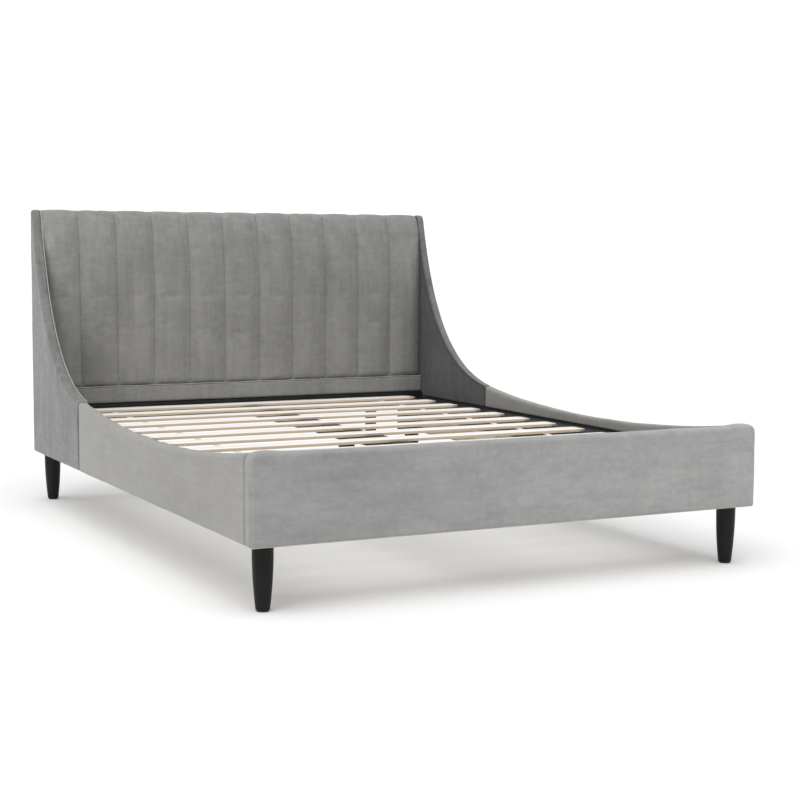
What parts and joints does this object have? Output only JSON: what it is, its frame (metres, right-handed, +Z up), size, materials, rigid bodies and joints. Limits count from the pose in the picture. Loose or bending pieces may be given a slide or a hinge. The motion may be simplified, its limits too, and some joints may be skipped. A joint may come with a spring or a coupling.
{
  "type": "sleigh bed",
  "caption": "Upholstered wingback platform bed: channel-tufted headboard, wings sweeping down into low side rails, slatted deck, tapered legs.",
  "frame": {"origin": "middle of the footprint, on the floor", "axes": "+Y towards the headboard, +X to the right of someone who stands at the foot and faces the headboard, +Z up"},
  "size_m": [1.66, 2.212, 1.096],
  "materials": {
    "velvet": "short-pile grey velvet, soft sheen",
    "board": "raw engineered board, hidden under the upholstery",
    "pine": "planed softwood, unfinished",
    "slat_wood": "pale planed softwood, bleached top",
    "black_wood": "satin black lacquer",
    "black_steel": "black powder coat",
    "zinc_steel": "bright zinc plate",
    "nylon": "moulded nylon",
    "webbing": "woven polyester ribbon"
  },
  "bodies": {
    "frame": {"headboard_top_rail": "pine", "headboard_bottom_rail": "pine", "headboard_stile_left": "black_wood", "headboard_stile_right": "black_wood", "rear_block_left": "black_wood", "rear_block_right": "black_wood", "headboard_board": "board", "headboard_back_cover": "velvet", "headboard_lower_band": "velvet", "headboard_channel_pad": "velvet", "head_ledger": "black_wood", "wing_cover_left": "velvet", "wing_core_left": "board", "rail_cover_left": "velvet", "rail_core_left": "board", "wing_cover_right": "velvet", "wing_core_right": "board", "rail_cover_right": "velvet", "rail_core_right": "board", "footboard_cover": "velvet", "footboard_core": "board", "slat_ledger_left": "black_steel", "joint_plate_left": "zinc_steel", "corner_block_left": "pine", "slat_ribbon_left": "webbing", "slat_ledger_right": "black_steel", "joint_plate_right": "zinc_steel", "corner_block_right": "pine", "slat_ribbon_right": "webbing", "slat_01": "slat_wood", "slat_02": "slat_wood", "slat_03": "slat_wood", "slat_04": "slat_wood", "slat_05": "slat_wood", "slat_06": "slat_wood", "slat_07": "slat_wood", "slat_08": "slat_wood", "slat_09": "slat_wood", "slat_10": "slat_wood", "slat_11": "slat_wood", "slat_12": "slat_wood", "centre_beam": "black_steel", "beam_hanger_foot": "black_steel", "beam_hanger_head": "black_steel", "centre_leg": "black_steel", "leg_front_left": "black_wood", "leg_bolt_front_left": "zinc_steel", "glide_front_left": "nylon", "leg_front_right": "black_wood", "leg_bolt_front_right": "zinc_steel", "glide_front_right": "nylon", "leg_rear_left": "black_wood", "leg_bolt_rear_left": "zinc_steel", "glide_rear_left": "nylon", "leg_rear_right": "black_wood", "leg_bolt_rear_right": "zinc_steel", "glide_rear_right": "nylon"},
    "foot": {"levelling_foot": "nylon"}
  },
  "joints": [
    {"name": "foot_level", "type": "slide", "parent": "frame", "child": "foot", "axis": [0, 0, 1], "range_m": [0, 0.012]}
  ]
}
